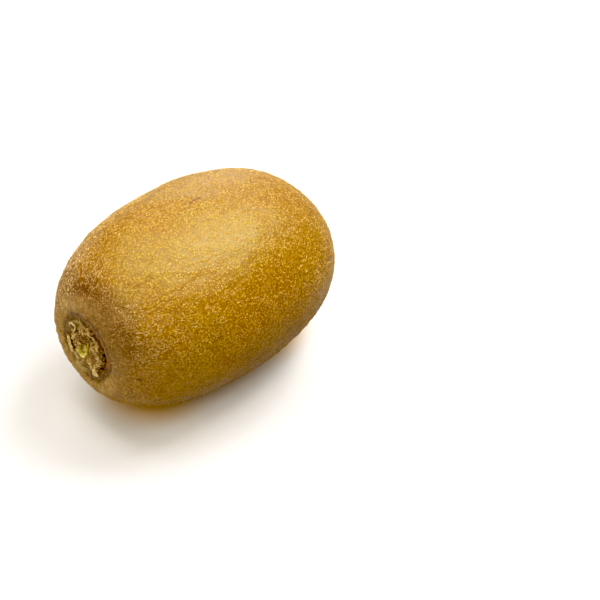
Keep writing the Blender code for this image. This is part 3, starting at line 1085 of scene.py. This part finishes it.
def paint_hairs(name, pale, dark, roughness):
    """Hairs, dark to pale by their tone: duller near the stem, darkest just above the stem, and darker low
    down, which is painted shade.
    """
    paint = Paint(name, roughness, Specular_Tint=rgb(250, 250, 205))
    along, apart = paint.stem_place()
    near_stem = paint.between(along, -14.0 * MM, -30.0 * MM)
    pale = paint.tint(pale, near_stem, (232, 202, 145))
    dark = paint.tint(dark, near_stem, (158, 121, 66))
    # Painted shade: the hairs turn duller lower down
    side = paint.between(paint.height(), 36.0 * MM, 22.0 * MM, 0.0, 0.68)
    pale = paint.tint(pale, side, (182, 144, 73))
    dark = paint.tint(dark, side, (158, 119, 48))
    # More painted shade, darkest low down
    low = paint.low_shade_share(along)
    pale = paint.tint(pale, low, (160, 118, 36), 0.65)
    dark = paint.tint(dark, low, (100, 62, 2), 0.55)
    above = paint.above_stem(along, apart)
    pale = paint.tint(pale, above, (200, 154, 88))
    dark = paint.tint(dark, above, (100, 62, 22))
    paint.colour(paint.mix(paint.attribute("tone"), dark, pale))
    return paint.material


def paint_dry(name, stops, roughness):
    """Dry plant matter, coloured by its tone with fine fibrous noise."""
    paint = Paint(name, roughness, Specular_IOR_Level=0.25)
    grain = paint.noise(0.22 * MM, 3.0, 0.6, 0.5)
    patch = paint.noise(1.3 * MM, 3.0, 0.6)
    value = paint.math("ADD", paint.attribute("tone"), paint.between(grain, 0.25, 0.75, -0.14, 0.14))
    value = paint.math("ADD", value, paint.between(patch, 0.3, 0.7, -0.1, 0.1))
    paint.colour(paint.shades(value, stops))
    paint.rough(paint.between(grain, 0.2, 0.8, roughness - 0.12, roughness + 0.12))
    paint.relief(grain, 0.06 * MM)
    return paint.material


# ---- Stage

FILM_BLACK = 0.028  # a plain print's black and white points
FILM_WHITE = 0.93
CAMERA_TURN = math.radians(-42.2)
CAMERA_RISE = math.radians(41.55)
CAMERA_DISTANCE = 404.5 * MM
CAMERA_LENS = 96.0
AIM_RIGHT = 26.0 * MM  # the camera aims past the fruit, to its right and a little below its middle
AIM_DOWN = 3.7 * MM
FLOOR_RADII = (0.0005, 0.3, 0.8, 1.2, 1.5, 1.75, 1.9, 2.0)
FLOOR_HEIGHTS = (0.0, 0.0, 0.0, 0.03, 0.13, 0.34, 0.62, 1.1)
FLOOR_SEGMENTS = 96
UNDER_FRUIT = 16.0 * MM  # how far the line that the floor's tints lie round reaches to each side
# The floor's tints: white, a painted soft shadow, white again near the fruit, and painted warm bounce light
# under it
FLOOR_SHADE_TINTS = (  # widths in millimetres, from the widest, each drawn over the one before
    (1600.0, (0.75, 0.75, 0.75, 1.0)),
    (400.0, (0.525, 0.53, 0.545, 1.0)),
    (68.0, (0.75, 0.75, 0.745, 1.0)),
    (38.0, (0.66, 0.4, 0.09, 1.0)),
)


def make_camera():
    level = math.cos(CAMERA_RISE)
    back = Vector((math.sin(CAMERA_TURN) * level, -math.cos(CAMERA_TURN) * level, math.sin(CAMERA_RISE)))
    facing = (-back).to_track_quat("-Z", "Y")
    right, up = facing @ Vector((1.0, 0.0, 0.0)), facing @ Vector((0.0, 1.0, 0.0))
    lens = bpy.data.cameras.new("camera")
    lens.lens = CAMERA_LENS
    lens.clip_start = 0.01
    camera = add_object("camera", lens)
    camera.location = CENTRE + right * AIM_RIGHT - up * AIM_DOWN + back * CAMERA_DISTANCE
    camera.rotation_mode = "QUATERNION"
    camera.rotation_quaternion = facing
    bpy.context.scene.camera = camera


def make_floor():
    """A pale floor that curves up all round, so that no horizon shows from any side."""
    radius, turn = lattice(FLOOR_RADII, np.arange(FLOOR_SEGMENTS) * TURN / FLOOR_SEGMENTS)
    height = np.array(FLOOR_HEIGHTS)[:, None]
    points, faces = capped(stack(radius * np.cos(turn), radius * np.sin(turn), height), (0.0, 0.0, 0.0))
    floor = link("floor", points, [face[::-1] for face in faces])
    smoother = floor.modifiers.new("smoother", "SUBSURF")
    smoother.levels = 2
    smoother.render_levels = 2
    paint = Paint("floor", 0.45)
    pale = paint.mix(paint.noise(0.2, 2.0), (0.9, 0.93, 0.97, 1.0), (0.92, 0.95, 0.99, 1.0))
    # White far off, a painted soft shadow round the fruit, and painted warm bounce light right under it
    line = np.array([-UNDER_FRUIT, 0.0, 0.0]), np.array([UNDER_FRUIT, 0.0, 0.0])
    for width, tint in FLOOR_SHADE_TINTS:
        pale = paint.mix(paint.streak(line, width * MM, paint.place), pale, tint)
    paint.colour(pale)
    floor.data.materials.append(paint.material)
    floor.visible_glossy = False  # no floor glare on the underside


def make_light(name, place, size, power, colour=(1.0, 1.0, 1.0)):
    """A soft light that faces the fruit, longest along it."""
    lamp = bpy.data.lights.new(name, "AREA")
    lamp.shape = "RECTANGLE"
    lamp.size, lamp.size_y = size
    lamp.energy = power
    lamp.color = colour
    light = add_object(name, lamp)
    light.location = place
    light.visible_camera = False
    light.rotation_mode = "QUATERNION"
    light.rotation_quaternion = (Vector(place) - CENTRE).to_track_quat("Z", "Y")


def make_bulb(name, place, radius, power):
    """A large soft bulb, which lights the floor behind it too, so that no edge shows there."""
    lamp = bpy.data.lights.new(name, "POINT")
    lamp.shadow_soft_size = radius
    lamp.energy = power
    light = add_object(name, lamp)
    light.location = place
    light.visible_camera = False


def make_studio():
    make_camera()
    make_floor()
    make_light("top_light", (0.15, 0.05, 1.1), (1.9, 0.8), 15.2)
    make_light("sheen_light", (0.62, -0.08, 0.92), (0.5, 0.4), 9.2)
    make_light("left_light", (-1.0, -0.1, 0.75), (0.8, 0.8), 4.9, (1.0, 0.9, 0.72))
    make_light("ceiling_light", (0.0, 0.0, 1.5), (3.0, 3.0), 11.4, (1.0, 0.8, 0.5))
    make_bulb("back_light", (0.85, 0.95, 0.4), 0.35, 15.0)
    make_light("front_light", (-0.5, -0.65, 0.85), (1.0, 0.5), 1.55, (1.0, 0.92, 0.78))
    make_light("low_light", (0.05, -0.85, 0.75), (0.35, 0.25), 0.85)
    make_light("shoulder_light", (-0.05, 0.12, 1.1), (0.3, 0.3), 1.4)
    world = bpy.data.worlds.new("studio")
    world.use_nodes = True
    background = world.node_tree.nodes["Background"].inputs
    background["Color"].default_value = (1.0, 0.72, 0.38, 1.0)
    background["Strength"].default_value = 0.1
    bpy.context.scene.world = world
    film = bpy.context.scene.view_settings
    film.view_transform = "Standard"
    film.use_curve_mapping = True
    film.curve_mapping.black_level = (FILM_BLACK,) * 3
    film.curve_mapping.white_level = (FILM_WHITE,) * 3


def dress(piece, material):
    """Gives a piece its material and its slot, and makes it ride on the fruit."""
    piece.data.materials.append(material)
    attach(piece, "root")


def main():
    make_studio()
    skin = make_skin()
    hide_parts("fruit")
    dress(skin, paint_skin())
    stub_paint = paint_hairs("stubs", rgb(226, 195, 121), rgb(182, 137, 48), 0.32)
    hair_paint = paint_hairs("hairs", rgb(214, 180, 92), rgb(166, 124, 34), 0.42)
    for fuzz in make_stubs(skin):
        dress(fuzz, stub_paint)
    for fuzz in make_end_hairs(skin):
        dress(fuzz, hair_paint)
    disc = make_disc()
    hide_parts("stalk_stub")
    dress(disc, paint_dry("disc_fibre", DISC_SHADES, 0.8))
    dress(make_scar(), paint_dry("scar_green", SCAR_SHADES, 0.6))
    sepal_paint = paint_dry("dry_sepal", SEPAL_SHADES, 0.75)
    for number, sepal in enumerate(make_sepals()):
        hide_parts(f"sepal_{number + 1}")
        dress(sepal, sepal_paint)
    dress(make_fibres(), paint_dry("loose_fibre", FIBRE_SHADES, 0.75))
    styles = make_styles()
    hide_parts("style_tuft")
    dress(styles, paint_dry("dry_style", STYLE_SHADES, 0.7))


main()
